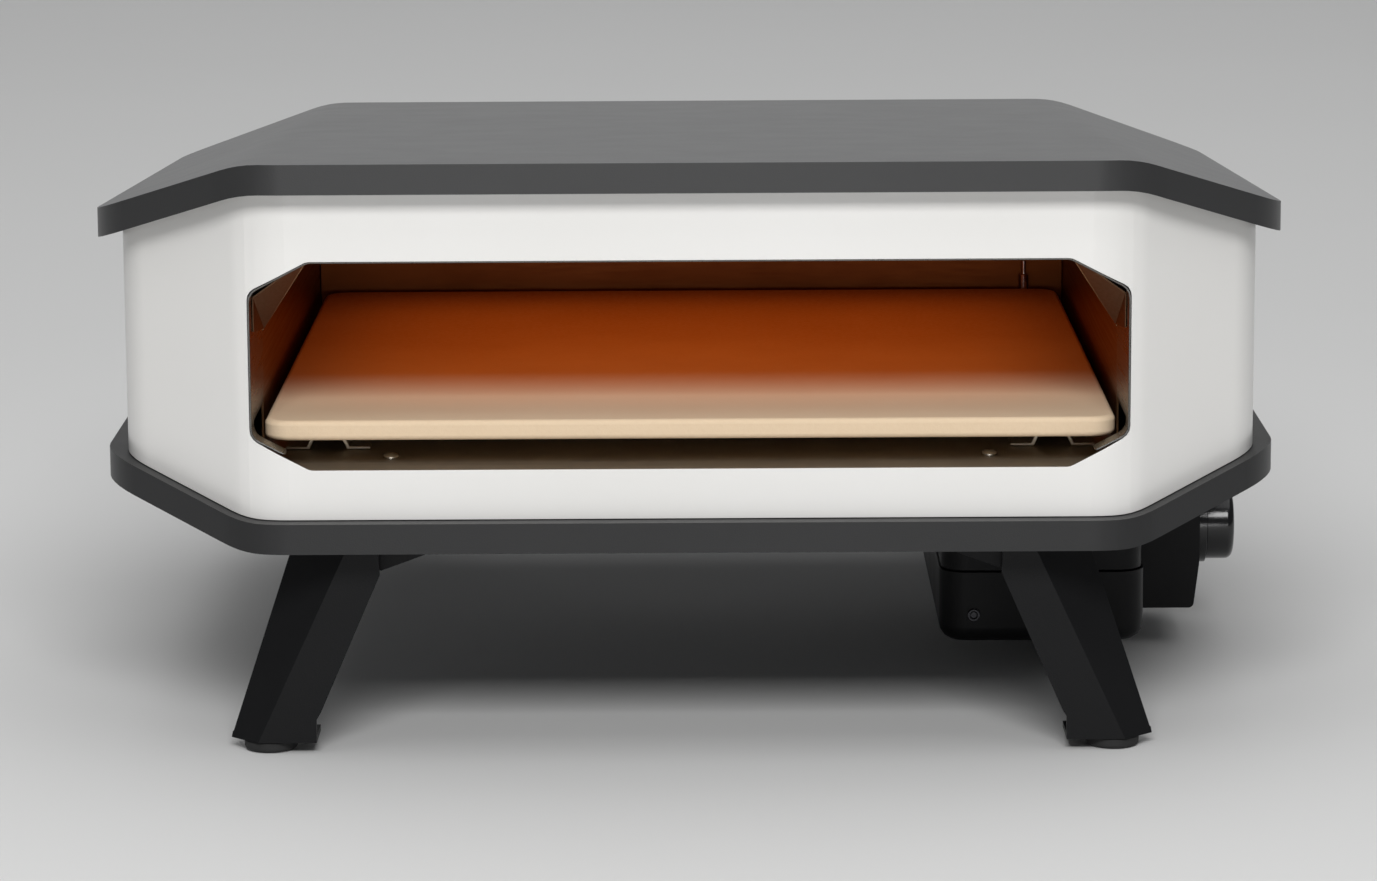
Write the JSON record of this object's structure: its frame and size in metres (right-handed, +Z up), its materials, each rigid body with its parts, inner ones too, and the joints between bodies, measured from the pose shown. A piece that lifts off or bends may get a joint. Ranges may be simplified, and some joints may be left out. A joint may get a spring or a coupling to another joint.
{
  "type": "portable pizza oven",
  "caption": "Table-top gas pizza oven with a sloping lid, a wide front opening over a baking stone, folding legs and a side gas knob.",
  "frame": {"origin": "on the ground, under the middle of the oven's outline", "axes": "+Z up, -Y out of the baking opening, +X towards the gas knob"},
  "size_m": [0.6, 0.6, 0.301],
  "materials": {
    "black_paint": "satin dark grey powder coat",
    "white_paint": "satin warm white enamel",
    "stainless": "brushed, heat-tinted inside",
    "plated_steel": "bright zinc or nickel plate",
    "baking_stone": "dry matt fired clay",
    "brass": "plain turned brass",
    "knob_black": "gloss black",
    "foot_rubber": "matt",
    "igniter_ceramic": "glazed white ceramic"
  },
  "bodies": {
    "root": {"lid": "black_paint", "base_tray": "black_paint", "control_frame": "black_paint", "control_cover": "black_paint", "knob_housing": "black_paint", "leg_bracket_front_left": "black_paint", "leg_bracket_front_right": "black_paint", "leg_bracket_rear_left": "black_paint", "leg_bracket_rear_right": "black_paint", "outer_shell": "white_paint", "rear_panel": "stainless", "opening_trim": "stainless", "chamber_floor": "stainless", "chamber_side_left": "stainless", "chamber_side_right": "stainless", "chamber_back": "stainless", "chamber_roof": "stainless", "stone_support_front_left": "stainless", "stone_support_front_right": "stainless", "stone_support_rear_left": "stainless", "stone_support_rear_right": "stainless", "burner_tube": "stainless", "burner_shield": "stainless", "rear_screw_1": "plated_steel", "rear_screw_2": "plated_steel", "rear_screw_3": "plated_steel", "rear_screw_4": "plated_steel", "floor_screw_1": "plated_steel", "floor_screw_2": "plated_steel", "control_screw": "plated_steel", "thermocouple": "plated_steel", "gas_pipe": "plated_steel", "leg_pin_front_left": "plated_steel", "leg_pin_front_right": "plated_steel", "leg_pin_rear_left": "plated_steel", "leg_pin_rear_right": "plated_steel", "pizza_stone": "baking_stone", "gas_valve": "brass", "hose_tail": "brass", "knob_bezel": "knob_black", "igniter_electrode": "igniter_ceramic"},
    "leg_front_left_body": {"leg_front_left": "black_paint", "foot_front_left": "foot_rubber"},
    "leg_front_right_body": {"leg_front_right": "black_paint", "foot_front_right": "foot_rubber"},
    "leg_rear_left_body": {"leg_rear_left": "black_paint", "foot_rear_left": "foot_rubber"},
    "leg_rear_right_body": {"leg_rear_right": "black_paint", "foot_rear_right": "foot_rubber"},
    "spindle_body": {"valve_spindle": "plated_steel"},
    "knob_body": {"knob": "knob_black"}
  },
  "joints": [
    {"name": "leg_front_left_hinge", "type": "hinge", "parent": "root", "child": "leg_front_left_body", "pos_m": [-0.165, -0.261, 0.104], "axis": [0, 1, 0], "range_deg": [-100, 0]},
    {"name": "leg_front_right_hinge", "type": "hinge", "parent": "root", "child": "leg_front_right_body", "pos_m": [0.165, -0.261, 0.104], "axis": [0, 1, 0], "range_deg": [0, 100]},
    {"name": "leg_rear_left_hinge", "type": "hinge", "parent": "root", "child": "leg_rear_left_body", "pos_m": [-0.165, 0.261, 0.104], "axis": [0, 1, 0], "range_deg": [-100, 0]},
    {"name": "leg_rear_right_hinge", "type": "hinge", "parent": "root", "child": "leg_rear_right_body", "pos_m": [0.165, 0.261, 0.104], "axis": [0, 1, 0], "range_deg": [0, 100]},
    {"name": "valve_turn", "type": "hinge", "parent": "root", "child": "spindle_body", "pos_m": [0.28, 0, 0.0605], "axis": [1, 0, 0], "range_deg": [0, 180]},
    {"name": "knob_push", "type": "slide", "parent": "spindle_body", "child": "knob_body", "axis": [1, 0, 0], "range_m": [-0.004, 0], "stiffness_N_per_m": 800}
  ]
}
